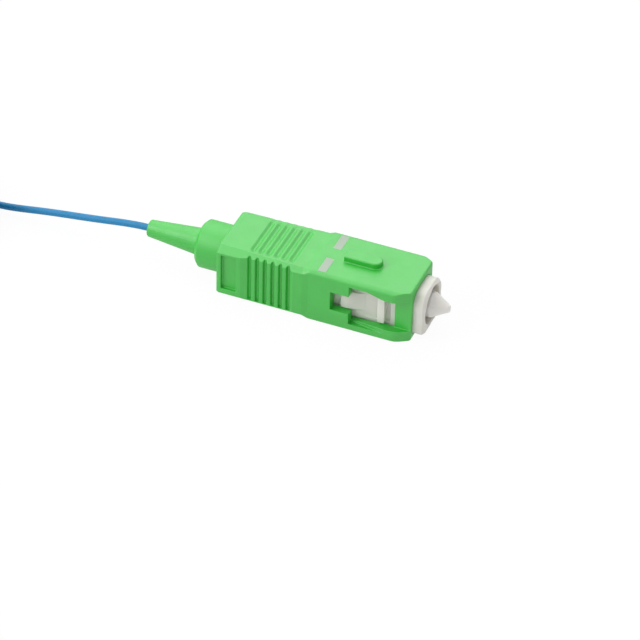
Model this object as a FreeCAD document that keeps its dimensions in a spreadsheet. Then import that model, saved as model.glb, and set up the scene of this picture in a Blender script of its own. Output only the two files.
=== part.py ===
import FreeCAD, Part
import math
import os
import re
import Sketcher

# Fibre optic push-pull connector with a square body, angled ferrule and tight-buffered lead.
# X runs forward to the ferrule's tip and Z up. The origin is on the flat underside, below the
# fibre's axis. Places named _start, _rear or _front are measured forward from the grip's rear end.

SIZES = {
    # Grip housing, outside
    "housing_rear": -19.4,
    "housing_length": 25.5,
    "body_width": 9.0,
    "body_height": 7.4,
    "body_top_edge": 0.65,
    "body_foot_edge": 0.06,
    "grip_length": 11.4,
    "grip_width": 9.16,
    "grip_height": 7.0,
    "facet_reach": 1.02,
    "facet_drop": 0.7,
    "facet_front_share": 0.72,
    "foot_facet": 0.22,
    "blend_length": 0.85,
    "nose_bevel_length": 1.8,
    "nose_bevel_depth": 1.08,
    "nose_bevel_round": 2.6,
    "front_edge": 0.3,
    "rear_bevel_length": 0.25,
    "rear_bevel_depth": 0.08,
    # Finger grip
    "waist_start": 3.2,
    "waist_rear_slope": 0.8,
    "waist_length": 6.6,
    "waist_front_slope": 0.35,
    "waist_depth": 0.2,
    "waist_top": 3.4,
    "groove_start": 4.34,
    "groove_pitch": 1.03,
    "groove_count": 6,
    "side_groove_mouth": 0.56,
    "side_groove_floor": 0.24,
    "side_groove_depth": 0.36,
    "side_groove_foot": 0.1,
    "top_groove_mouth": 0.84,
    "top_groove_floor": 0.14,
    "top_groove_depth": 0.2,
    "top_groove_length": 7.0,
    "top_groove_run_out": 0.6,
    "top_groove_end_depth": 0.02,
    "panel_start": 0.6,
    "panel_length": 2.0,
    "panel_height": 5.1,
    "panel_depth": 0.45,
    "panel_drop": 0.05,
    # Openings in the housing's sides
    "slot_start": 15.15,
    "slot_height": 2.7,
    "window_start": 17.6,
    "window_length": 5.7,
    "window_height": 4.4,
    "window_rear_height": 5.3,
    "wall_relief": 0.2,
    "ramp_length": 4.6,
    "ramp_span": 5.7,
    "ramp_floor": 0.62,
    "strip_thickness": 0.4,
    # Key and index marks on top
    "key_start": 15.45,
    "key_length": 4.75,
    "key_width": 1.9,
    "key_height": 0.8,
    "key_edge": 0.2,
    "mark_start": 13.22,
    "mark_width": 1.05,
    "mark_length": 2.85,
    "mark_gap": 2.1,
    "mark_depth": 0.06,
    # Plug frame
    "frame_rear": 5.6,
    "frame_length": 21.42,
    "frame_width": 5.95,
    "frame_height": 5.86,
    "frame_key_corner": 1.9,
    "frame_foot_corner": 0.45,
    "nose_chamfer": 0.35,
    "recess_diameter": 5.0,
    "recess_depth": 6.95,
    "recess_lead": 0.2,
    "web_thickness": 0.8,
    "web_hole": 3.3,
    "rear_bore": 4.9,
    "boss_start": 16.2,
    "boss_flat": 0.9,
    "boss_slope": 2.2,
    "boss_height": 2.5,
    "boss_proud": 0.55,
    "latch_start": 19.2,
    "latch_depth": 0.15,
    "rib_start": 21.06,
    "rib_length": 0.9,
    "rib_height": 4.1,
    "rib_proud": 0.6,
    "relief_length": 0.6,
    "relief_depth": 0.22,
    # Stop ring in the frame's rear
    "insert_length": 4.0,
    "ring_flange_diameter": 5.5,
    "ring_flange_length": 1.0,
    "tail_diameter": 3.6,
    "tail_length": 6.4,
    "barb_height": 0.12,
    "barb_length": 0.8,
    "ring_bore": 2.1,
    # Boot
    "boot_sleeve_diameter": 5.2,
    "boot_sleeve_length": 3.3,
    "boot_collar_diameter": 6.2,
    "boot_collar_length": 5.15,
    "boot_collar_edge": 0.45,
    "boot_root_diameter": 3.57,
    "boot_tip_diameter": 2.18,
    "boot_cone_length": 7.25,
    "boot_tip_edge": 0.2,
    # Ferrule and its holder
    "ferrule_diameter": 2.499,
    "ferrule_length": 10.5,
    "ferrule_start": 16.4,
    "ferrule_bevel_length": 0.6,
    "ferrule_bevel_depth": 0.35,
    "ferrule_funnel": 1.0,
    "end_face_angle": 8.0,
    "holder_flange_diameter": 4.3,
    "holder_flange_length": 2.9,
    "holder_gap": 0.05,
    "holder_tube_diameter": 2.9,
    "holder_tube_start": 11.2,
    "holder_notch_width": 0.8,
    "holder_notch_depth": 0.5,
    "glue_length": 0.85,
    "guide_seat_length": 2.6,
    "guide_diameter": 1.8,
    "guide_bore": 1.0,
    "guide_length": 13.2,
    # Spring
    "spring_wire": 0.4,
    "spring_diameter": 4.1,
    "spring_turns": 7.0,
    # Fibre
    "glass_diameter": 0.125,
    "buffer_diameter": 0.9,
    # Dust cap
    "cap_rear": 22.6,
    "cap_diameter": 3.3,
    "cap_tube_length": 4.4,
    "cap_shoulder_edge": 0.3,
    "cap_cone_length": 2.23,
    "cap_tip_diameter": 0.84,
    "cap_end_gap": 0.25,
    # Clearances
    "slide_clearance": 0.05,
    "collar_clearance": 0.08,
    "fit_clearance": 0.02,
    "cap_clearance": 0.03,
    "collar_pocket_spare": 1.9,
    # Hank of spare lead and its tie
    "hank_behind": 20.3,
    "hank_length": 21.9,
    "hank_width": 9.9,
    "hank_end_round": 4.9,
    "hank_bundle_width": 2.7,
    "hank_bundle_height": 6.3,
    "hank_bundle_edge": 0.4,
    "tie_width": 3.0,
    "tie_thickness": 0.3,
    "tie_corner": 0.6,
}

# Places and sizes that follow from the driving dimensions
FOLLOWING = {
    "axis_height": "body_height / 2",
    "housing_front": "housing_rear + housing_length",
    "grip_end": "housing_rear + grip_length",
    "blend_end": "grip_end + blend_length",
    "cavity_width": "frame_width + 2 * slide_clearance",
    "cavity_height": "frame_height + 2 * slide_clearance",
    "window_x": "housing_rear + window_start",
    "window_end": "window_x + window_length",
    "slot_x": "housing_rear + slot_start",
    "ramp_y": "cavity_width / 2 + ramp_floor",
    "strip_y": "cavity_width / 2 + strip_thickness",
    "frame_x": "housing_rear + frame_rear",
    "frame_front": "frame_x + frame_length",
    "recess_floor": "frame_front - recess_depth",
    "web_rear": "recess_floor - web_thickness",
    "boss_x": "housing_rear + boss_start",
    "boss_y": "frame_width / 2 + boss_proud",
    "latch_x": "housing_rear + latch_start",
    "rib_x": "housing_rear + rib_start",
    "ring_front": "frame_x + insert_length",
    "ring_flange_rear": "frame_x - ring_flange_length",
    "tail_end": "ring_flange_rear - tail_length",
    "boot_collar_front": "ring_flange_rear - boot_sleeve_length",
    "boot_collar_rear": "boot_collar_front - boot_collar_length",
    "boot_tip": "boot_collar_rear - boot_cone_length",
    "ferrule_rear": "housing_rear + ferrule_start",
    "ferrule_tip": "ferrule_rear + ferrule_length",
    "end_face_drop": "(ferrule_diameter + glass_diameter) / 2 * tan(end_face_angle * 1 deg)",
    "holder_front": "web_rear - holder_gap",
    "holder_flange_rear": "holder_front - holder_flange_length",
    "holder_tube_rear": "housing_rear + holder_tube_start",
    "guide_front": "holder_tube_rear + guide_seat_length",
    "guide_rear": "guide_front - guide_length",
    "glue_rear": "ferrule_rear - glue_length",
    "cap_x": "housing_rear + cap_rear",
    "cap_shoulder": "cap_x + cap_tube_length",
    "cap_end": "cap_shoulder + cap_cone_length",
    "cap_floor": "ferrule_tip + cap_end_gap",
    "hank_x": "boot_tip - hank_behind - hank_length / 2",
    "hank_y": "-(hank_width - buffer_diameter) / 2",
    "tie_inner_width": "hank_width + 2 * fit_clearance",
    "tie_inner_height": "hank_bundle_height + 2 * fit_clearance",
}

OVERCUT = 1.0
NAMES = re.compile(r"\b[a-z][a-z_]+\b")

doc = FreeCAD.newDocument("connector")


# Sizes sheet and what reads it
def fill_sheet():
    sheet = doc.addObject("Spreadsheet::Sheet", "dims")
    for row, (name, value) in enumerate(SIZES.items(), start=1):
        sheet.set("A%d" % row, name)
        sheet.set("B%d" % row, str(value))
        sheet.setAlias("B%d" % row, name)
    doc.recompute()
    return sheet


def formula(text):
    """Expression text in which each name is a cell of the sheet or follows from cells."""
    def swap(match):
        name = match.group(0)
        if name in SIZES:
            return "dims." + name
        if name in FOLLOWING:
            return "(" + formula(FOLLOWING[name]) + ")"
        return name
    return NAMES.sub(swap, str(text))


def value(text):
    """The number that a formula gives with the sheet's present values."""
    result = sheet.evalExpression(formula(text))
    return getattr(result, "Value", result)


def bind(thing, path, text):
    thing.setExpression(path, formula(text))


# Sketches
PLANES = {"XY": "XY_Plane", "XZ": "XZ_Plane", "YZ": "YZ_Plane"}


def new_body(name, height="axis_height"):
    body = doc.addObject("PartDesign::Body", name)
    body.Label = name
    bind(body, "Placement.Base.z", height)
    return body


def new_sketch(body, plane, offset="0"):
    sketch = body.newObject("Sketcher::SketchObject", body.Name + "_sketch")
    origin = [f for f in body.Origin.OriginFeatures if f.Role == PLANES[plane]][0]
    sketch.AttachmentSupport = [(origin, "")]
    sketch.MapMode = "FlatFace"
    if offset != "0":
        bind(sketch, "AttachmentOffset.Base.z", offset)
    return sketch


def hold(sketch, kind, geometry, point, text):
    """Fixes one coordinate of a sketch point, measured from the sketch's origin."""
    index = sketch.addConstraint(Sketcher.Constraint(kind, -1, 1, geometry, point, value(text)))
    bind(sketch, "Constraints[%d]" % index, text)


def draw_polygon(sketch, corners):
    """A closed polygon whose corners are pairs of formulas."""
    spots = [FreeCAD.Vector(value(a), value(b), 0) for a, b in corners]
    first = sketch.GeometryCount
    count = len(spots)
    for i, spot in enumerate(spots):
        sketch.addGeometry(Part.LineSegment(spot, spots[(i + 1) % count]))
    for i, (a, b) in enumerate(corners):
        sketch.addConstraint(Sketcher.Constraint("Coincident", first + i, 2, first + (i + 1) % count, 1))
        hold(sketch, "DistanceX", first + i, 1, a)
        hold(sketch, "DistanceY", first + i, 1, b)


def draw_circle(sketch, a, b, radius):
    centre = FreeCAD.Vector(value(a), value(b), 0)
    index = sketch.addGeometry(Part.Circle(centre, FreeCAD.Vector(0, 0, 1), value(radius)))
    hold(sketch, "DistanceX", index, 3, a)
    hold(sketch, "DistanceY", index, 3, b)
    row = sketch.addConstraint(Sketcher.Constraint("Radius", index, value(radius)))
    bind(sketch, "Constraints[%d]" % row, radius)


def draw_rounded(sketch, width, height, upper, lower, middle="0"):
    """A rectangle centred on the sketch's axis, with one radius above and one below."""
    w, t, m = value(width) / 2, value(height) / 2, value(middle)
    ru, rl = value(upper), value(lower)
    corners = [(w, m - t, rl, -90), (w, m + t, ru, 0), (-w, m + t, ru, 90), (-w, m - t, rl, 180)]
    arcs, ends = [], []
    for x, y, r, turn in corners:
        centre = FreeCAD.Vector(x - math.copysign(r, x), y + (r if y < m else -r), 0)
        circle = Part.Circle(centre, FreeCAD.Vector(0, 0, 1), r)
        arc = Part.ArcOfCircle(circle, math.radians(turn), math.radians(turn + 90))
        arcs.append(sketch.addGeometry(arc))
        ends.append((arc.StartPoint, arc.EndPoint))
    for i in range(4):
        line = sketch.addGeometry(Part.LineSegment(ends[i][1], ends[(i + 1) % 4][0]))
        sketch.addConstraint(Sketcher.Constraint("Tangent", arcs[i], 2, line, 1))
        sketch.addConstraint(Sketcher.Constraint("Tangent", line, 2, arcs[(i + 1) % 4], 1))
        sketch.addConstraint(Sketcher.Constraint("Horizontal" if i % 2 else "Vertical", line))
    for i, radius in ((0, lower), (1, upper), (2, upper), (3, lower)):
        row = sketch.addConstraint(Sketcher.Constraint("Radius", arcs[i], value(radius)))
        bind(sketch, "Constraints[%d]" % row, radius)
    hold(sketch, "DistanceX", arcs[0], 2, "(%s) / 2" % width)
    hold(sketch, "DistanceX", arcs[2], 2, "-(%s) / 2" % width)
    hold(sketch, "DistanceY", arcs[1], 2, "(%s) + (%s) / 2" % (middle, height))
    hold(sketch, "DistanceY", arcs[3], 2, "(%s) - (%s) / 2" % (middle, height))


def draw_slot_shape(sketch, start, length, width):
    """A bar along the sketch's X with a square rear end and a round front end."""
    x0, x1, r = value(start), value("(%s) + (%s)" % (start, length)), value(width) / 2
    low, high = FreeCAD.Vector(x0, -r, 0), FreeCAD.Vector(x0, r, 0)
    circle = Part.Circle(FreeCAD.Vector(x1 - r, 0, 0), FreeCAD.Vector(0, 0, 1), r)
    arc = sketch.addGeometry(Part.ArcOfCircle(circle, -math.pi / 2, math.pi / 2))
    top = sketch.addGeometry(Part.LineSegment(FreeCAD.Vector(x1 - r, r, 0), high))
    back = sketch.addGeometry(Part.LineSegment(high, low))
    foot = sketch.addGeometry(Part.LineSegment(low, FreeCAD.Vector(x1 - r, -r, 0)))
    sketch.addConstraint(Sketcher.Constraint("Tangent", arc, 2, top, 1))
    sketch.addConstraint(Sketcher.Constraint("Tangent", foot, 2, arc, 1))
    sketch.addConstraint(Sketcher.Constraint("Coincident", top, 2, back, 1))
    sketch.addConstraint(Sketcher.Constraint("Coincident", back, 2, foot, 1))
    sketch.addConstraint(Sketcher.Constraint("Horizontal", top))
    sketch.addConstraint(Sketcher.Constraint("Horizontal", foot))
    hold(sketch, "DistanceX", back, 1, start)
    hold(sketch, "DistanceX", back, 2, start)
    hold(sketch, "DistanceY", back, 1, "(%s) / 2" % width)
    hold(sketch, "DistanceY", back, 2, "-(%s) / 2" % width)
    hold(sketch, "DistanceX", arc, 3, "(%s) + (%s) - (%s) / 2" % (start, length, width))


# Features
def feature(body, kind, sketch, **settings):
    item = body.newObject("PartDesign::" + kind, body.Name + "_" + kind.lower())
    item.Profile = sketch
    for name, setting in settings.items():
        setattr(item, name, setting)
    return item


def pad(body, sketch, length, midplane=False, reverse=False):
    item = feature(body, "Pad", sketch, Midplane=midplane, Reversed=reverse)
    bind(item, "Length", length)
    doc.recompute()
    return item


def pocket(body, sketch, length, midplane=False, reverse=False):
    """Cuts against the sketch's normal, or along it when reversed, and checks that it cut."""
    before = body.Shape.Volume
    item = feature(body, "Pocket", sketch, Midplane=midplane, Reversed=reverse)
    bind(item, "Length", length)
    doc.recompute()
    if body.Shape.Volume >= before:
        raise RuntimeError("%s cuts nothing" % item.Label)
    return item


def revolve(body, outline, kind="Revolution"):
    """Turns a closed outline of (x, radius) formulas about the fibre's axis."""
    sketch = new_sketch(body, "XZ")
    draw_polygon(sketch, outline)
    item = feature(body, kind, sketch, Angle=360.0)
    item.ReferenceAxis = (sketch, ["H_Axis"])
    doc.recompute()
    return item


def edges_where(body, test):
    return ["Edge%d" % (i + 1) for i, edge in enumerate(body.Tip.Shape.Edges) if test(edge)]


def dress(body, kind, size, test):
    """Rounds or bevels the edges that the test picks."""
    names = edges_where(body, test)
    if not names:
        raise RuntimeError("%s has no edge to %s" % (body.Label, kind.lower()))
    base = body.Tip
    item = body.newObject("PartDesign::" + kind, body.Name + "_" + kind.lower())
    item.Base = (base, names)
    bind(item, "Radius" if kind == "Fillet" else "Size", size)
    doc.recompute()
    return item


def repeat(body, items, pitch, count):
    """Repeats features forward along X."""
    row = body.newObject("PartDesign::LinearPattern", body.Name + "_row")
    row.Originals = items
    axis = [f for f in body.Origin.OriginFeatures if f.Role == "X_Axis"][0]
    row.Direction = (axis, [""])
    bind(row, "Length", "%s * (%s - 1)" % (pitch, count))
    bind(row, "Occurrences", count)
    body.Tip = row
    doc.recompute()
    return row


def lies_across(edge, x):
    """True for an edge in the plane square to the fibre at one place along X."""
    box = edge.BoundBox
    return abs(box.XMin - value(x)) < 1e-4 and abs(box.XMax - value(x)) < 1e-4


def is_ring(edge, x, radius):
    """True for a circle about the fibre's axis at one place along X."""
    curve = edge.Curve
    near = isinstance(curve, Part.Circle) and abs(curve.Center.x - value(x)) < 1e-4
    return near and abs(curve.Radius - value(radius)) < 1e-4


def cut_both_sides(body, corners, height, offset="0"):
    """Cuts the same plan outline out of both sides."""
    sketch = new_sketch(body, "XY", offset)
    draw_polygon(sketch, corners)
    draw_polygon(sketch, [(x, "-(%s)" % y) for x, y in corners])
    return pocket(body, sketch, height, midplane=True)


# Grip housing
def draw_grip_section(sketch, share="1", inset="0"):
    """A rectangle with wide facets above, taken at a share of their full size, and small ones below."""
    side, top = "(grip_width / 2 - %s)" % inset, "(grip_height / 2 - %s)" % inset
    half = [
        (side + " - foot_facet", "-" + top),
        (side, "foot_facet - " + top),
        (side, "%s - facet_drop * %s" % (top, share)),
        ("%s - facet_reach * %s" % (side, share), top),
    ]
    draw_polygon(sketch, half + [("-(%s)" % y, z) for y, z in reversed(half)])


def groove_outline(level, name, depth=None):
    """A tapered groove's section, open at the given level."""
    middle = "housing_rear + groove_start"
    mouth, floor, depth = name + "_mouth / 2", name + "_floor / 2", depth or name + "_depth"
    outside = "%s + %s" % (level, OVERCUT)
    half = [(floor, "%s - %s" % (level, depth)), (mouth, level), (mouth, outside)]
    left = [("%s - %s" % (middle, reach), up) for reach, up in reversed(half)]
    return left + [("%s + %s" % (middle, reach), up) for reach, up in half]


def make_outer_housing():
    body = new_body("outer_housing")

    rear_end = new_sketch(body, "YZ", "housing_rear")
    draw_grip_section(rear_end, inset="rear_bevel_depth")
    bevel_end = new_sketch(body, "YZ", "housing_rear + rear_bevel_length")
    draw_grip_section(bevel_end)
    grip_end = new_sketch(body, "YZ", "grip_end")
    draw_grip_section(grip_end, "facet_front_share")
    feature(body, "AdditiveLoft", rear_end, Sections=[bevel_end, grip_end], Ruled=True)
    doc.recompute()

    blend_start = new_sketch(body, "YZ", "grip_end")
    draw_grip_section(blend_start, "facet_front_share")
    blend_end = new_sketch(body, "YZ", "blend_end")
    draw_rounded(blend_end, "body_width", "body_height", "body_top_edge", "body_foot_edge")
    feature(body, "AdditiveLoft", blend_start, Sections=[blend_end], Ruled=True)
    doc.recompute()

    front = new_sketch(body, "YZ", "blend_end")
    draw_rounded(front, "body_width", "body_height", "body_top_edge", "body_foot_edge")
    pad(body, front, "housing_front - blend_end")
    bevel_nose(body)

    key = new_sketch(body, "XY", "body_height / 2")
    draw_slot_shape(key, "housing_rear + key_start", "key_length", "key_width")
    pad(body, key, "key_height")
    top = value("body_height / 2 + key_height")
    dress(body, "Fillet", "key_edge", lambda e: min(v.Z for v in e.Vertexes) > top - 1e-4)

    cavity = new_sketch(body, "YZ", "housing_rear - %s" % OVERCUT)
    upper, lower = "frame_key_corner + slide_clearance", "frame_foot_corner + slide_clearance"
    draw_rounded(cavity, "cavity_width", "cavity_height", upper, lower)
    pocket(body, cavity, "housing_length + 2 * %s" % OVERCUT, reverse=True)

    collar = new_sketch(body, "YZ", "housing_rear - %s" % OVERCUT)
    draw_circle(collar, "0", "0", "boot_collar_diameter / 2 + collar_clearance")
    depth = "boot_collar_front - housing_rear + collar_pocket_spare + %s" % OVERCUT
    pocket(body, collar, depth, reverse=True)

    cut_side_windows(body)
    cut_finger_grip(body)

    marks = new_sketch(body, "XY", "body_height / 2")
    for side in (1, -1):
        draw_polygon(marks, mark_outline(side))
    pocket(body, marks, "mark_depth")
    return body


def draw_bevel(sketch, side):
    """What the nose bevel takes off one side in plan, with a rounded start."""
    turn = math.atan2(value("nose_bevel_depth"), value("nose_bevel_length"))
    reach = "nose_bevel_round * tan(atan(nose_bevel_depth / nose_bevel_length) / 2)"
    start = "housing_front - nose_bevel_length - " + reach
    slope = "nose_bevel_depth / nose_bevel_length * %s" % OVERCUT
    corners = [
        ("housing_front + %s" % OVERCUT, "%d * (body_width / 2 - nose_bevel_depth - %s)" % (side, slope)),
        ("housing_front + %s" % OVERCUT, "%d * (body_width / 2 + %s)" % (side, OVERCUT)),
        (start, "%d * (body_width / 2 + %s)" % (side, OVERCUT)),
        (start, "%d * body_width / 2" % side),
    ]
    spots = [FreeCAD.Vector(value(x), value(y), 0) for x, y in corners]
    radius = value("nose_bevel_round")
    centre = spots[-1] - FreeCAD.Vector(0, side * radius, 0)
    last = centre + FreeCAD.Vector(math.sin(turn), side * math.cos(turn), 0) * radius
    middle = centre + FreeCAD.Vector(math.sin(turn / 2), side * math.cos(turn / 2), 0) * radius
    arc = sketch.addGeometry(Part.Arc(spots[-1], middle, last))
    arc_start, arc_end = (2, 1) if side > 0 else (1, 2)
    lines = [sketch.addGeometry(Part.LineSegment(a, b)) for a, b in zip([last] + spots[:-1], spots)]
    sketch.addConstraint(Sketcher.Constraint("Tangent", arc, arc_end, lines[0], 1))
    for line, after in zip(lines, lines[1:]):
        sketch.addConstraint(Sketcher.Constraint("Coincident", line, 2, after, 1))
    sketch.addConstraint(Sketcher.Constraint("Coincident", lines[-1], 2, arc, arc_start))
    for line, (x, y) in zip(lines, corners):
        hold(sketch, "DistanceX", line, 2, x)
        hold(sketch, "DistanceY", line, 2, y)
    hold(sketch, "DistanceX", arc, 3, start)
    row = sketch.addConstraint(Sketcher.Constraint("Radius", arc, radius))
    bind(sketch, "Constraints[%d]" % row, "nose_bevel_round")


def bevel_nose(body):
    """Narrows the front in plan, and rounds its outline."""
    sketch = new_sketch(body, "XY")
    draw_bevel(sketch, 1)
    draw_bevel(sketch, -1)
    pocket(body, sketch, "body_height + 2 * %s" % OVERCUT, midplane=True)
    dress(body, "Fillet", "front_edge", lambda e: lies_across(e, "housing_front"))


def cut_side_windows(body):
    """The latch windows, the thinned walls behind them, their release ramps and the recessed strips ahead."""
    window = new_sketch(body, "XZ")
    outline = [
        ("slot_x", "slot_height / 2"),
        ("window_x", "slot_height / 2"),
        ("window_x", "window_rear_height / 2"),
        ("window_x + ramp_length", "window_height / 2"),
        ("window_end", "window_height / 2"),
    ]
    draw_polygon(window, outline + [(x, "-(%s)" % z) for x, z in reversed(outline)])
    pocket(body, window, "body_width + 2 * %s" % OVERCUT, midplane=True)

    inside, thinned = "cavity_width / 2 - %s" % OVERCUT, "cavity_width / 2 + wall_relief"
    relief = [("slot_x", inside), ("window_end", inside), ("window_end", thinned), ("slot_x", thinned)]
    cut_both_sides(body, relief, "window_rear_height")

    outside = "body_width / 2 + %s" % OVERCUT
    ramp_end = "window_x + ramp_length"
    ramp = [("window_x", "ramp_y"), (ramp_end, "body_width / 2"), (ramp_end, outside), ("window_x", outside)]
    cut_both_sides(body, ramp, "ramp_span")

    ahead = "housing_front + %s" % OVERCUT
    strip = [("window_end", "strip_y"), (ahead, "strip_y"), (ahead, outside), ("window_end", outside)]
    cut_both_sides(body, strip, "window_height")


def cut_cross_grooves(body, sign):
    """The row of grooves across the top or the foot, which run out to the surface at both ends."""
    outline = groove_outline("grip_height / 2", "top_groove")
    shallow = groove_outline("grip_height / 2", "top_groove", "top_groove_end_depth")
    straight = "top_groove_length / 2 - top_groove_run_out"

    def section(corners, offset):
        sketch = new_sketch(body, "XZ", offset)
        draw_polygon(sketch, [(x, "%s(%s)" % (sign, z)) for x, z in corners])
        return sketch

    items = [pocket(body, section(outline, "0"), "2 * (%s)" % straight, midplane=True)]
    for side in ("", "-"):
        deep = section(outline, "%s(%s)" % (side, straight))
        end = section(shallow, "%stop_groove_length / 2" % side)
        items.append(feature(body, "SubtractiveLoft", deep, Sections=[end], Ruled=True))
        doc.recompute()
    repeat(body, items, "groove_pitch", "groove_count")


def cut_finger_grip(body):
    """The waisted sides, the rows of grooves and the plain rear panels."""
    outside = "grip_width / 2 + %s" % OVERCUT
    waist_y = "grip_width / 2 - waist_depth"
    x0, x1 = "housing_rear + waist_start", "housing_rear + waist_start + waist_length"
    rear_slope = "waist_rear_slope * (1 + %s / waist_depth)" % OVERCUT
    front_slope = "waist_front_slope * (1 + %s / waist_depth)" % OVERCUT
    waist = [
        (x0 + " + waist_rear_slope", waist_y),
        (x1, waist_y),
        ("%s + %s" % (x1, front_slope), outside),
        ("%s + waist_rear_slope - %s" % (x0, rear_slope), outside),
    ]
    low = "(grip_height / 2 + %s)" % OVERCUT
    cut_both_sides(body, waist, "waist_top + " + low, "(waist_top - %s) / 2" % low)

    low = "(grip_height / 2 - side_groove_foot)"
    outline = groove_outline(waist_y, "side_groove")
    side = cut_both_sides(body, outline, "waist_top + " + low, "(waist_top - %s) / 2" % low)
    repeat(body, [side], "groove_pitch", "groove_count")
    for sign in ("", "-"):
        cut_cross_grooves(body, sign)

    x0, x1 = "housing_rear + panel_start", "housing_rear + panel_start + panel_length"
    floor = "grip_width / 2 - panel_depth"
    panel = [(x0, floor), (x1, floor), (x1, outside), (x0, outside)]
    cut_both_sides(body, panel, "panel_height", "-panel_drop")


def mark_outline(side):
    x0, x1 = "housing_rear + mark_start", "housing_rear + mark_start + mark_width"
    y0, y1 = "%d * mark_gap / 2" % side, "%d * (mark_gap / 2 + mark_length)" % side
    return [(x0, y0), (x1, y0), (x1, y1), (x0, y1)]


# Index marks, two bars of white ink laid into shallow beds
def make_index_mark(side, name):
    body = new_body(name)
    sketch = new_sketch(body, "XY", "body_height / 2 - mark_depth")
    draw_polygon(sketch, mark_outline(side))
    pad(body, sketch, "mark_depth")
    return body


def make_index_marks():
    bars = [make_index_mark(1, "far_mark"), make_index_mark(-1, "near_mark")]
    both = doc.addObject("Part::Compound", "index_marks")
    both.Label = "index_marks"
    both.Links = bars
    return both


# Plug frame
def make_plug_frame():
    body = new_body("plug_frame")
    section = new_sketch(body, "YZ", "frame_x")
    draw_rounded(section, "frame_width", "frame_height", "frame_key_corner", "frame_foot_corner")
    pad(body, section, "frame_length")
    dress(body, "Chamfer", "nose_chamfer", lambda e: lies_across(e, "frame_front"))

    boss = new_sketch(body, "XY")
    half = [
        ("boss_x", "boss_y"),
        ("boss_x + boss_flat", "boss_y"),
        ("boss_x + boss_flat + boss_slope", "frame_width / 2"),
    ]
    draw_polygon(boss, half + [(x, "-(%s)" % y) for x, y in reversed(half)])
    pad(body, boss, "boss_height", midplane=True)

    rib = new_sketch(body, "XY")
    rib_y = "frame_width / 2 + rib_proud"
    half = [("rib_x", rib_y), ("rib_x + rib_length", rib_y)]
    draw_polygon(rib, half + [(x, "-(%s)" % y) for x, y in reversed(half)])
    pad(body, rib, "rib_height", midplane=True)

    outside = "frame_width / 2 + %s" % OVERCUT
    latch = [("latch_x", "frame_width / 2"), ("rib_x", "frame_width / 2 - latch_depth"), ("rib_x", outside),
             ("latch_x", outside)]
    cut_both_sides(body, latch, "rib_height")
    x0, x1 = "rib_x + rib_length", "rib_x + rib_length + relief_length"
    floor = "frame_width / 2 - relief_depth"
    cut_both_sides(body, [(x0, floor), (x1, floor), (x1, outside), (x0, outside)], "rib_height")

    behind, ahead = "frame_x - %s" % OVERCUT, "frame_front + %s" % OVERCUT
    lead = "recess_diameter / 2 + recess_lead + %s" % OVERCUT
    revolve(body, [
        (behind, "0"),
        (behind, "rear_bore / 2"),
        ("web_rear", "rear_bore / 2"),
        ("web_rear", "web_hole / 2"),
        ("recess_floor", "web_hole / 2"),
        ("recess_floor", "recess_diameter / 2"),
        ("frame_front - recess_lead", "recess_diameter / 2"),
        (ahead, lead),
        (ahead, "0"),
    ], kind="Groove")
    return body


# Stop ring that closes the frame's rear and carries the boot
def make_stop_ring():
    body = new_body("stop_ring")
    revolve(body, [
        ("ring_front", "ring_bore / 2"),
        ("ring_front", "rear_bore / 2 - fit_clearance - barb_height"),
        ("ring_front - barb_length", "rear_bore / 2 - fit_clearance"),
        ("frame_x", "rear_bore / 2 - fit_clearance"),
        ("frame_x", "ring_flange_diameter / 2"),
        ("ring_flange_rear", "ring_flange_diameter / 2"),
        ("ring_flange_rear", "tail_diameter / 2"),
        ("tail_end + barb_length", "tail_diameter / 2"),
        ("tail_end", "tail_diameter / 2 - barb_height"),
        ("tail_end", "ring_bore / 2"),
    ])
    return body


# Strain relief boot
def make_boot():
    body = new_body("boot")
    revolve(body, [
        ("ring_flange_rear", "tail_diameter / 2 + fit_clearance"),
        ("ring_flange_rear", "boot_sleeve_diameter / 2"),
        ("boot_collar_front", "boot_sleeve_diameter / 2"),
        ("boot_collar_front", "boot_collar_diameter / 2"),
        ("boot_collar_rear", "boot_collar_diameter / 2"),
        ("boot_collar_rear", "boot_root_diameter / 2"),
        ("boot_tip", "boot_tip_diameter / 2"),
        ("boot_tip", "buffer_diameter / 2 + fit_clearance"),
        ("boot_collar_rear", "buffer_diameter / 2 + fit_clearance"),
        ("boot_collar_rear", "guide_diameter / 2 + slide_clearance"),
        ("tail_end - fit_clearance", "guide_diameter / 2 + slide_clearance"),
        ("tail_end - fit_clearance", "tail_diameter / 2 + fit_clearance"),
    ])
    collar, tip = "boot_collar_diameter / 2", "boot_tip_diameter / 2"
    dress(body, "Chamfer", "boot_collar_edge", lambda e: is_ring(e, "boot_collar_rear", collar))
    dress(body, "Fillet", "boot_tip_edge", lambda e: is_ring(e, "boot_tip", tip))
    return body


# Ferrule with its angled end face
def make_ferrule():
    body = new_body("ferrule")
    radius, hole = "ferrule_diameter / 2", "glass_diameter / 2"
    revolve(body, [
        ("ferrule_rear", "buffer_diameter / 2"),
        ("ferrule_rear", radius),
        ("ferrule_tip - ferrule_bevel_length", radius),
        ("ferrule_tip", radius + " - ferrule_bevel_depth"),
        ("ferrule_tip", hole),
        ("ferrule_rear + ferrule_funnel", hole),
    ])
    face = new_sketch(body, "XZ")
    slope = "tan(end_face_angle * 1 deg)"
    low = "-(%s + %s)" % (radius, OVERCUT)
    high = "%s + %s" % (radius, OVERCUT)
    draw_polygon(face, [
        ("ferrule_tip + %s * %s" % (slope, OVERCUT), low),
        ("ferrule_tip - %s * (ferrule_diameter + %s)" % (slope, OVERCUT), high),
        ("ferrule_tip + %s" % OVERCUT, high),
    ])
    pocket(body, face, "ferrule_diameter + 2 * %s" % OVERCUT, midplane=True)
    return body


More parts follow.
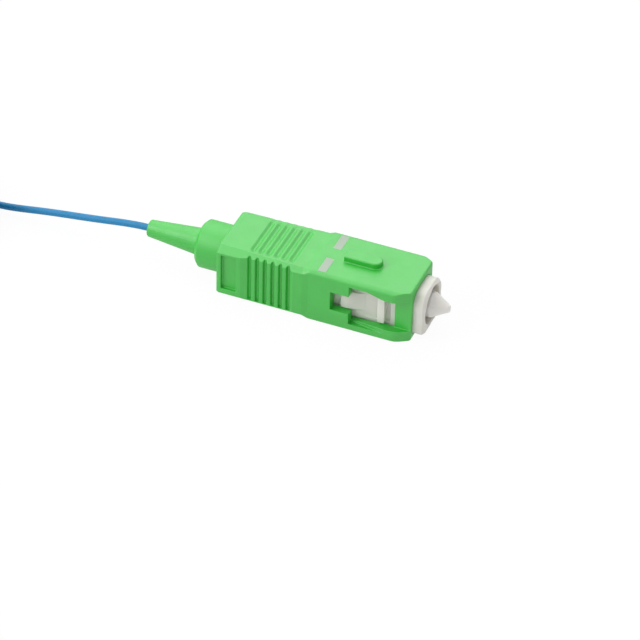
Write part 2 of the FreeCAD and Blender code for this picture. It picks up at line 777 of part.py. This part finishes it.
# Metal holder pressed on the ferrule's rear
def make_ferrule_holder():
    body = new_body("ferrule_holder")
    revolve(body, [
        ("holder_front", "ferrule_diameter / 2 + fit_clearance"),
        ("holder_front", "holder_flange_diameter / 2"),
        ("holder_flange_rear", "holder_flange_diameter / 2"),
        ("holder_flange_rear", "holder_tube_diameter / 2"),
        ("holder_tube_rear", "holder_tube_diameter / 2"),
        ("holder_tube_rear", "guide_diameter / 2 + fit_clearance"),
        ("guide_front", "guide_diameter / 2 + fit_clearance"),
        ("guide_front", "buffer_diameter / 2 + fit_clearance"),
        ("ferrule_rear", "buffer_diameter / 2 + fit_clearance"),
        ("ferrule_rear", "ferrule_diameter / 2 + fit_clearance"),
    ])
    notch = new_sketch(body, "YZ", "holder_flange_rear")
    inner = "holder_flange_diameter / 2 - holder_notch_depth"
    outer = "holder_flange_diameter / 2 + %s" % OVERCUT
    side = "holder_notch_width / 2"
    for sign in ("", "-"):
        draw_polygon(notch, [("-" + side, "%s(%s)" % (sign, inner)), (side, "%s(%s)" % (sign, inner)),
                             (side, "%s(%s)" % (sign, outer)), ("-" + side, "%s(%s)" % (sign, outer))])
    pocket(body, notch, "holder_flange_length + %s" % OVERCUT, reverse=True)
    return body


# Plain turned pieces along the fibre
def make_tube(name, start, end, outer, inner):
    body = new_body(name)
    revolve(body, [(start, inner), (start, outer), (end, outer), (end, inner)])
    return body


def make_rod(name, start, end, radius):
    rod = doc.addObject("Part::Cylinder", name)
    rod.Label = name
    bind(rod, "Radius", radius)
    bind(rod, "Height", "(%s) - (%s)" % (end, start))
    rod.Placement = FreeCAD.Placement(FreeCAD.Vector(), FreeCAD.Rotation(FreeCAD.Vector(0, 1, 0), 90))
    bind(rod, "Placement.Base.x", start)
    bind(rod, "Placement.Base.z", "axis_height")
    return rod


# Spring between the stop ring and the ferrule holder
def make_spring():
    body = new_body("ferrule_spring")
    start = "ring_front + spring_wire / 2 + fit_clearance"
    length = "holder_flange_rear - ring_front - spring_wire - 2 * fit_clearance"
    sketch = new_sketch(body, "XZ")
    draw_circle(sketch, start, "(spring_diameter - spring_wire) / 2", "spring_wire / 2")
    item = body.newObject("PartDesign::AdditiveHelix", "ferrule_spring_helix")
    item.Profile = sketch
    item.ReferenceAxis = (sketch, ["H_Axis"])
    item.Mode = "pitch-height-angle"
    bind(item, "Pitch", "(%s) / spring_turns" % length)
    bind(item, "Height", length)
    doc.recompute()
    return body


# Dust cap pushed on the ferrule
def make_dust_cap():
    body = new_body("dust_cap")
    bore = "ferrule_diameter / 2 + cap_clearance"
    revolve(body, [
        ("cap_x", bore),
        ("cap_x", "cap_diameter / 2"),
        ("cap_shoulder", "cap_diameter / 2"),
        ("cap_end", "cap_tip_diameter / 2"),
        ("cap_end", "0"),
        ("cap_floor", "0"),
        ("cap_floor", "ferrule_diameter / 2 - ferrule_bevel_depth"),
        ("ferrule_tip - ferrule_bevel_length", bore),
    ])
    dress(body, "Fillet", "cap_shoulder_edge", lambda e: is_ring(e, "cap_shoulder", "cap_diameter / 2"))
    dress(body, "Fillet", "cap_tip_diameter / 3", lambda e: is_ring(e, "cap_end", "cap_tip_diameter / 2"))
    return body


# Lead from the boot down to the hank. Each point is (behind the boot, across, height),
# and the first two lie on the fibre's axis, where a height of None stands for it.
LEAD_ROUTE = [
    (0.0, 0.0, None),
    (1.8, 0.0, None),
    (8.0, 0.06, 2.66),
    (14.0, 0.0, 1.92),
    (19.4, -0.06, 1.0),
    (22.4, 0.05, 0.8),
]
BEND_SHARE = 0.45


def lead_points():
    tip, axis = value("boot_tip"), value("axis_height")
    route = [(tip - back, across, axis if up is None else up) for back, across, up in LEAD_ROUTE]
    return [FreeCAD.Vector(*point) for point in route]


def rounded_path(points):
    """Straight runs joined by tangent arcs, each as large as its two runs allow."""
    edges, here, radii = [], points[0], []
    for before, corner, after in zip(points, points[1:], points[2:]):
        back, ahead = (before - corner), (after - corner)
        turn = math.pi - back.getAngle(ahead)
        reach = BEND_SHARE * min(back.Length, ahead.Length)
        radius = reach / math.tan(turn / 2)
        back.normalize()
        ahead.normalize()
        first, last = corner + back * reach, corner + ahead * reach
        middle_way = back + ahead
        middle_way.normalize()
        centre = corner + middle_way * math.hypot(reach, radius)
        middle = centre - middle_way * radius
        edges.append(Part.LineSegment(here, first).toShape())
        edges.append(Part.Arc(first, middle, last).toShape())
        radii.append(radius)
        here = last
    edges.append(Part.LineSegment(here, points[-1]).toShape())
    return Part.Wire(edges), radii


def make_lead():
    points = lead_points()
    path, radii = rounded_path(points)
    radius = value("buffer_diameter / 2")
    ring = Part.Wire([Part.makeCircle(radius, points[0], points[1] - points[0])])
    tube = path.makePipeShell([ring], True, False)
    expected = math.pi * radius ** 2 * path.Length
    print("lead length %.2f mm, volume %.3f of %.3f" % (path.Length, tube.Volume, expected))
    print("lead radii", ", ".join("%.1f" % r for r in radii))
    lead = doc.addObject("Part::Feature", "pigtail_lead")
    lead.Label = "pigtail_lead"
    lead.Shape = tube
    return lead


# Hank of the spare lead, and the tie that holds it
def place_at_hank(body):
    bind(body, "Placement.Base.x", "hank_x")
    bind(body, "Placement.Base.y", "hank_y")
    doc.recompute()


def make_hank():
    body = new_body("pigtail_hank", "tie_thickness")
    outline = new_sketch(body, "XY")
    draw_rounded(outline, "hank_length", "hank_width", "hank_end_round", "hank_end_round")
    inner_length, inner_width = "hank_length - 2 * hank_bundle_width", "hank_width - 2 * hank_bundle_width"
    inner_round = "hank_end_round - hank_bundle_width"
    draw_rounded(outline, inner_length, inner_width, inner_round, inner_round)
    pad(body, outline, "hank_bundle_height")
    dress(body, "Fillet", "hank_bundle_edge", lambda e: e.BoundBox.ZLength < 1e-4)
    place_at_hank(body)
    return body


def make_tie():
    body = new_body("hank_tie", "tie_thickness + hank_bundle_height / 2")
    ring = new_sketch(body, "YZ")
    draw_rounded(ring, "tie_inner_width", "tie_inner_height", "hank_bundle_edge", "hank_bundle_edge")
    outer_width, outer_height = "hank_width + 2 * tie_thickness", "hank_bundle_height + 2 * tie_thickness"
    draw_rounded(ring, outer_width, outer_height, "tie_corner", "tie_corner")
    pad(body, ring, "tie_width", midplane=True)
    place_at_hank(body)
    return body


sheet = fill_sheet()

pieces = [
    make_outer_housing(),
    make_index_marks(),
    make_plug_frame(),
    make_stop_ring(),
    make_boot(),
    make_ferrule(),
    make_ferrule_holder(),
    make_tube("guide_tube", "guide_rear", "guide_front", "guide_diameter / 2", "guide_bore / 2"),
    make_tube("glue_bead", "glue_rear", "ferrule_rear", "buffer_diameter / 2", "glass_diameter / 2"),
    make_rod("glass_fibre", "glue_rear", "ferrule_tip - end_face_drop", "glass_diameter / 2"),
    make_rod("fibre_buffer", "boot_tip", "glue_rear", "buffer_diameter / 2"),
    make_spring(),
    make_dust_cap(),
    make_lead(),
    make_hank(),
    make_tie(),
]

doc.recompute()


# Checks and files
def check_document():
    bad = [o.Label for o in doc.Objects if "Invalid" in o.State or "Error" in o.State]
    if bad:
        raise RuntimeError("failed objects: " + ", ".join(bad))
    for piece in pieces:
        if piece.Shape.isNull() or not piece.Shape.isValid():
            raise RuntimeError(piece.Label + " has no valid shape")


check_document()
os.makedirs("parts", exist_ok=True)
for piece in pieces:
    piece.Shape.exportStep("parts/%s.step" % piece.Label)
    box = piece.Shape.BoundBox
    print("%-16s solids %d volume %8.3f  x %7.2f %7.2f  y %6.2f %6.2f  z %5.2f %5.2f" % (
        piece.Label, len(piece.Shape.Solids), piece.Shape.Volume,
        box.XMin, box.XMax, box.YMin, box.YMax, box.ZMin, box.ZMax))
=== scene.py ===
import bpy
import math
from mathutils import Matrix, Vector


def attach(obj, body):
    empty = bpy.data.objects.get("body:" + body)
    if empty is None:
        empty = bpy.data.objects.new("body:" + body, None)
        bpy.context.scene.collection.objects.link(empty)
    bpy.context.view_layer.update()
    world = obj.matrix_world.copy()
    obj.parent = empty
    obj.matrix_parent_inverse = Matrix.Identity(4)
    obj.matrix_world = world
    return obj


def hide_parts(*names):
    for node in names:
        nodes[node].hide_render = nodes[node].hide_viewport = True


# Fibre optic connector with a green sliding housing, on a blue tight-buffered lead.
# Blender's lengths are in metres. The lists of places here are in millimetres and are turned by MM.

MM = 0.001
AXIS_HEIGHT = 3.7
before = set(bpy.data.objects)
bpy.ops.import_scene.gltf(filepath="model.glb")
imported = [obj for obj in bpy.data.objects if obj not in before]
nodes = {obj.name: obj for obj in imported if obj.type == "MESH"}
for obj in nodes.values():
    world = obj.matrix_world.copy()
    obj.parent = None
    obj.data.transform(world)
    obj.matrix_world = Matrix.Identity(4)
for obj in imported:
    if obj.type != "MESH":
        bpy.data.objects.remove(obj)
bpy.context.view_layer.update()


# Camera
CAMERA_TURN = math.radians(21.68)
CAMERA_RISE = math.radians(38.46)
CAMERA_ROLL = math.radians(1.44)
CAMERA_DISTANCE = 490.6 * MM
CAMERA_FOCUS = 3975.7 / 640
CAMERA_CLIP = (0.01, 10.0)
SENSOR_WIDTH = 36.0
CAMERA_TARGET = Vector((-6.9, 0.0, AXIS_HEIGHT)) * MM
CAMERA_SLIDE = Vector((-0.47, -5.56)) * MM


def make_camera():
    turn, rise, roll = CAMERA_TURN, CAMERA_RISE, CAMERA_ROLL
    back = Vector((math.sin(turn) * math.cos(rise), -math.cos(turn) * math.cos(rise), math.sin(rise)))
    level = Vector((math.cos(turn), math.sin(turn), 0.0))
    upright = back.cross(level)
    right = level * math.cos(roll) + upright * math.sin(roll)
    up = upright * math.cos(roll) - level * math.sin(roll)
    place = CAMERA_TARGET + back * CAMERA_DISTANCE + right * CAMERA_SLIDE.x + up * CAMERA_SLIDE.y
    data = bpy.data.cameras.new("photo_camera")
    data.sensor_width = SENSOR_WIDTH
    data.lens = CAMERA_FOCUS * SENSOR_WIDTH
    data.clip_start, data.clip_end = CAMERA_CLIP
    camera = bpy.data.objects.new("photo_camera", data)
    camera.matrix_world = Matrix.Translation(place) @ Matrix((right, up, back)).transposed().to_4x4()
    bpy.context.scene.collection.objects.link(camera)
    bpy.context.scene.camera = camera


# Cord. Each point of the route is (behind the boot, across, height).
LEAD_DIAMETER = 0.9 * MM
BOOT_TIP = -30.5
LEAD_ROUTE = [
    (0.0, 0.0, AXIS_HEIGHT),
    (1.8, 0.0, AXIS_HEIGHT),
    (8.0, 0.06, 2.66),
    (14.0, 0.0, 1.92),
    (19.4, -0.06, 1.0),
    (22.4, 0.05, 0.8),
]
HANK_CENTRE = (-61.75, -4.5)
HANK_LOW = 0.32
HANK_STRAIGHT = 12.0
HANK_RADII = (4.48, 3.58, 2.68)
HANK_ROWS = 7
POINTS_A_BEND = 8


def hank_turns():
    """Radius and height of each turn, up the outer column, down the middle one and up the inner one."""
    turns = []
    for column, radius in enumerate(HANK_RADII):
        rows = range(HANK_ROWS) if column % 2 == 0 else reversed(range(HANK_ROWS))
        turns += [(radius, HANK_LOW + (row + 0.5) * LEAD_DIAMETER / MM) for row in rows]
    return turns


def hank_points():
    """The hank's turns, each of which steps to the next level and column in its front bend."""
    step = math.pi / POINTS_A_BEND
    turns = hank_turns()
    points = []
    for (radius, height), (next_radius, next_height) in zip(turns, turns[1:] + turns[-1:]):
        for side in (-1, 1):
            for i in range(POINTS_A_BEND):
                way = 2 * (i + 0.5) / POINTS_A_BEND if side > 0 else 0.0
                level = height + (next_height - height) * min(way, 1.0)
                reach = (radius + (next_radius - radius) * max(way - 1.0, 0.0)) / math.cos(step / 2)
                angle = -side * math.pi / 2 + (i + 0.5) * step
                x = HANK_CENTRE[0] + side * HANK_STRAIGHT / 2 + reach * math.cos(angle)
                points.append((x, HANK_CENTRE[1] + reach * math.sin(angle), level))
    return points


def make_lead(material):
    points = [(BOOT_TIP - back, across, up) for back, across, up in LEAD_ROUTE] + hank_points()
    data = bpy.data.curves.new("lead", "CURVE")
    data.dimensions = "3D"
    data.bevel_depth = LEAD_DIAMETER / 2
    data.bevel_resolution = 6
    data.resolution_u = 8
    data.use_fill_caps = True
    spline = data.splines.new("NURBS")
    spline.points.add(len(points) - 1)
    for point, place in zip(spline.points, points):
        point.co = (place[0] * MM, place[1] * MM, place[2] * MM, 1.0)
    spline.order_u = 3
    spline.use_endpoint_u = True
    lead = bpy.data.objects.new("lead", data)
    bpy.context.scene.collection.objects.link(lead)
    data.materials.append(material)
    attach(lead, "core")
    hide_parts("pigtail_lead", "pigtail_hank")


# Materials. Noise scales are in cycles a metre, and depths in metres.
NOISE_LOW, NOISE_HIGH = 0.3, 0.7
CLOUD_SCALE, CLOUD_SPAN = 260.0, 0.04
SHEEN_SCALE, SHEEN_SPAN = 900.0, 0.04
GRAIN_SCALE, GRAIN_DEPTH, GRAIN_DETAIL = 2600.0, 0.006 * MM, 4.0
METAL_SCALE, METAL_SPAN = 1500.0, 0.05
METAL_GRAIN_SCALE, METAL_GRAIN_DEPTH = 3000.0, 0.003 * MM


def new_material(name, colour, roughness, gloss=0.5, ior=1.5):
    """A material whose constants are set on the shader's own sockets."""
    material = bpy.data.materials.new(name)
    material.use_nodes = True
    shader = material.node_tree.nodes["Principled BSDF"]
    shader.inputs["Base Color"].default_value = (*colour, 1.0)
    shader.inputs["Roughness"].default_value = roughness
    shader.inputs["Specular IOR Level"].default_value = gloss
    shader.inputs["IOR"].default_value = ior
    return material, shader


def add_noise(material, scale, detail=3.0):
    tree = material.node_tree
    place = tree.nodes.new("ShaderNodeTexCoord")
    noise = tree.nodes.new("ShaderNodeTexNoise")
    noise.inputs["Scale"].default_value = scale
    noise.inputs["Detail"].default_value = detail
    tree.links.new(place.outputs["Object"], noise.inputs["Vector"])
    return noise.outputs["Fac"]


def spread(material, source, low, high):
    """Turns a pattern's middle range into a range of values."""
    tree = material.node_tree
    node = tree.nodes.new("ShaderNodeMapRange")
    node.inputs["From Min"].default_value = NOISE_LOW
    node.inputs["From Max"].default_value = NOISE_HIGH
    node.inputs["To Min"].default_value = low
    node.inputs["To Max"].default_value = high
    tree.links.new(source, node.inputs["Value"])
    return node.outputs["Result"]


def vary_colour(material, shader, scale, colour, span):
    tree = material.node_tree
    darker = [c * (1.0 - span) for c in colour]
    lighter = [min(c * (1.0 + span), 1.0) for c in colour]
    mix = tree.nodes.new("ShaderNodeMix")
    mix.data_type = "RGBA"
    mix.inputs["A"].default_value = (*darker, 1.0)
    mix.inputs["B"].default_value = (*lighter, 1.0)
    tree.links.new(spread(material, add_noise(material, scale), 0.0, 1.0), mix.inputs["Factor"])
    tree.links.new(mix.outputs["Result"], shader.inputs["Base Color"])


def vary_roughness(material, shader, scale, middle, span):
    level = spread(material, add_noise(material, scale), middle - span, middle + span)
    material.node_tree.links.new(level, shader.inputs["Roughness"])


def add_bump(material, shader, scale, depth):
    tree = material.node_tree
    bump = tree.nodes.new("ShaderNodeBump")
    bump.inputs["Distance"].default_value = depth
    bump.inputs["Strength"].default_value = 1.0
    tree.links.new(add_noise(material, scale, GRAIN_DETAIL), bump.inputs["Height"])
    tree.links.new(bump.outputs["Normal"], shader.inputs["Normal"])


def make_plastic(name, colour, roughness, gloss=0.5, ior=1.5, glow=None, glow_depth=0.3 * MM, glow_share=0.2):
    """Moulded plastic with faint clouding, uneven gloss and a fine spark-eroded grain."""
    material, shader = new_material(name, colour, roughness, gloss, ior)
    vary_colour(material, shader, CLOUD_SCALE, colour, CLOUD_SPAN)
    vary_roughness(material, shader, SHEEN_SCALE, roughness, SHEEN_SPAN)
    add_bump(material, shader, GRAIN_SCALE, GRAIN_DEPTH)
    if glow:
        shader.inputs["Subsurface Weight"].default_value = glow_share
        shader.inputs["Subsurface Radius"].default_value = glow
        shader.inputs["Subsurface Scale"].default_value = glow_depth
    return material


def make_metal(name, colour, roughness):
    material, shader = new_material(name, colour, roughness)
    shader.inputs["Metallic"].default_value = 1.0
    vary_roughness(material, shader, METAL_SCALE, roughness, METAL_SPAN)
    add_bump(material, shader, METAL_GRAIN_SCALE, METAL_GRAIN_DEPTH)
    return material


def dress_node(name, material):
    node = nodes[name]
    node.data.materials.clear()
    node.data.materials.append(material)


# Moulded pieces, with the softly rounded edges that a mould gives. The voxel is in millimetres.
VOXEL = 0.05
SMOOTHING = 0.5
SMOOTHING_ROUNDS = 4
FACES_KEPT = 0.3


def make_moulding(name, node_name, body, material):
    data = nodes[node_name].data.copy()
    data.transform(Matrix.Scale(1.0 / MM, 4))
    draft = bpy.data.objects.new(name, data)
    bpy.context.scene.collection.objects.link(draft)
    remesh = draft.modifiers.new("remesh", "REMESH")
    remesh.mode = "VOXEL"
    remesh.voxel_size = VOXEL
    smooth = draft.modifiers.new("smooth", "SMOOTH")
    smooth.iterations, smooth.factor = SMOOTHING_ROUNDS, SMOOTHING
    thin = draft.modifiers.new("thin", "DECIMATE")
    thin.ratio = FACES_KEPT
    final = bpy.data.meshes.new_from_object(draft.evaluated_get(bpy.context.evaluated_depsgraph_get()))
    bpy.data.objects.remove(draft)
    final.transform(Matrix.Scale(MM, 4))
    final.shade_smooth()
    piece = bpy.data.objects.new(name, final)
    bpy.context.scene.collection.objects.link(piece)
    final.materials.clear()
    final.materials.append(material)
    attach(piece, body)
    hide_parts(node_name)


# Floor, backdrop and light. The camera sees the backdrop white, and the object is lit by a dimmer one.
FLOOR_REACH = 3.0
FLOOR_GLOW = 0.95
FLOOR_GREY = 0.9
WORLD_GREY = 0.48


def add_math(tree, operation, first, second):
    """A maths node on a source and either another source or a number."""
    node = tree.nodes.new("ShaderNodeMath")
    node.operation = operation
    tree.links.new(first, node.inputs[0])
    if isinstance(second, float):
        node.inputs[1].default_value = second
    else:
        tree.links.new(second, node.inputs[1])
    return node.outputs["Value"]


def seen_rays(tree):
    """1 for the rays by which the camera sees the backdrop, straight on, through glass or mirrored."""
    path = tree.nodes.new("ShaderNodeLightPath")
    seen = add_math(tree, "MAXIMUM", path.outputs["Is Camera Ray"], path.outputs["Is Transmission Ray"])
    return add_math(tree, "MAXIMUM", seen, path.outputs["Is Glossy Ray"])


def make_floor():
    mesh = bpy.data.meshes.new("floor")
    corners = [(-1, -1), (1, -1), (1, 1), (-1, 1)]
    mesh.from_pydata([(x * FLOOR_REACH, y * FLOOR_REACH, 0) for x, y in corners], [], [(0, 1, 2, 3)])
    floor = bpy.data.objects.new("floor", mesh)
    bpy.context.scene.collection.objects.link(floor)
    material, shader = new_material("floor_white", [FLOOR_GREY] * 3, 0.9, 0.0)
    tree = material.node_tree
    glow = tree.nodes.new("ShaderNodeEmission")
    mix = tree.nodes.new("ShaderNodeMixShader")
    tree.links.new(add_math(tree, "MULTIPLY", seen_rays(tree), FLOOR_GLOW), mix.inputs["Fac"])
    tree.links.new(shader.outputs["BSDF"], mix.inputs[1])
    tree.links.new(glow.outputs["Emission"], mix.inputs[2])
    tree.links.new(mix.outputs["Shader"], tree.nodes["Material Output"].inputs["Surface"])
    mesh.materials.append(material)


def make_world():
    world = bpy.data.worlds.new("studio")
    bpy.context.scene.world = world
    world.use_nodes = True
    tree = world.node_tree
    dim = tree.nodes["Background"]
    dim.inputs["Color"].default_value = (WORLD_GREY, WORLD_GREY, WORLD_GREY, 1.0)
    white = tree.nodes.new("ShaderNodeBackground")
    white.inputs["Color"].default_value = (1.0, 1.0, 1.0, 1.0)
    mix = tree.nodes.new("ShaderNodeMixShader")
    tree.links.new(seen_rays(tree), mix.inputs["Fac"])
    tree.links.new(dim.outputs["Background"], mix.inputs[1])
    tree.links.new(white.outputs["Background"], mix.inputs[2])
    tree.links.new(mix.outputs["Shader"], tree.nodes["World Output"].inputs["Surface"])


def make_lamp(name, place, size, power):
    data = bpy.data.lights.new(name, "AREA")
    data.shape = "DISK"
    data.size = size
    data.energy = power
    lamp = bpy.data.objects.new(name, data)
    lamp.location = place
    lamp.rotation_euler = (-Vector(place)).to_track_quat("-Z", "Y").to_euler()
    bpy.context.scene.collection.objects.link(lamp)


make_camera()
lead_blue = make_plastic("lead_blue", (0.01, 0.20, 0.42), 0.5, gloss=0.4)
make_lead(lead_blue)

GREEN = (0.01, 0.44, 0.02)
SHINY = {"gloss": 0.9, "ior": 1.6, "glow": (0.1, 1.0, 0.1)}
MILKY = {"gloss": 0.4, "glow": (1.0, 0.95, 0.85), "glow_depth": 1.0 * MM, "glow_share": 0.6}
grip_green = make_plastic("grip_green", GREEN, 0.45, **SHINY)
boot_green = make_plastic("boot_green", GREEN, 0.50, **SHINY)
frame_white = make_plastic("frame_white", (0.70, 0.69, 0.64), 0.45, **MILKY)
cap_white = make_plastic("cap_white", (0.80, 0.78, 0.74), 0.40, **MILKY)
make_moulding("housing_moulding", "outer_housing", "grip", grip_green)
make_moulding("boot_moulding", "boot", "core", boot_green)
make_moulding("frame_moulding", "plug_frame", "core", frame_white)
make_moulding("cap_moulding", "dust_cap", "cap", cap_white)

dress_node("index_marks", make_plastic("mark_white", (0.40, 0.48, 0.39), 0.6, gloss=0.3))
dress_node("stop_ring", make_plastic("ring_black", (0.02, 0.02, 0.02), 0.5))
dress_node("ferrule", make_plastic("ceramic", (0.85, 0.85, 0.83), 0.15))
dress_node("ferrule_holder", make_metal("holder_metal", (0.70, 0.66, 0.58), 0.25))
dress_node("ferrule_spring", make_metal("spring_steel", (0.60, 0.60, 0.60), 0.25))
dress_node("guide_tube", make_plastic("guide_plastic", (0.75, 0.75, 0.72), 0.4, glow=(1.0, 0.9, 0.8)))
dress_node("glue_bead", make_plastic("adhesive", (0.55, 0.40, 0.15), 0.3, glow=(1.0, 0.6, 0.2)))
dress_node("glass_fibre", make_plastic("fibre_glass", (0.80, 0.85, 0.85), 0.1))
dress_node("fibre_buffer", lead_blue)
dress_node("hank_tie", make_plastic("tie_black", (0.02, 0.02, 0.02), 0.6))

make_floor()
make_world()
make_lamp("top_lamp", (-0.17, 0.27, 0.50), 0.9, 2.9)
make_lamp("left_lamp", (-0.45, -0.38, 0.45), 0.55, 2.8)

scene = bpy.context.scene
scene.view_settings.view_transform = "Standard"
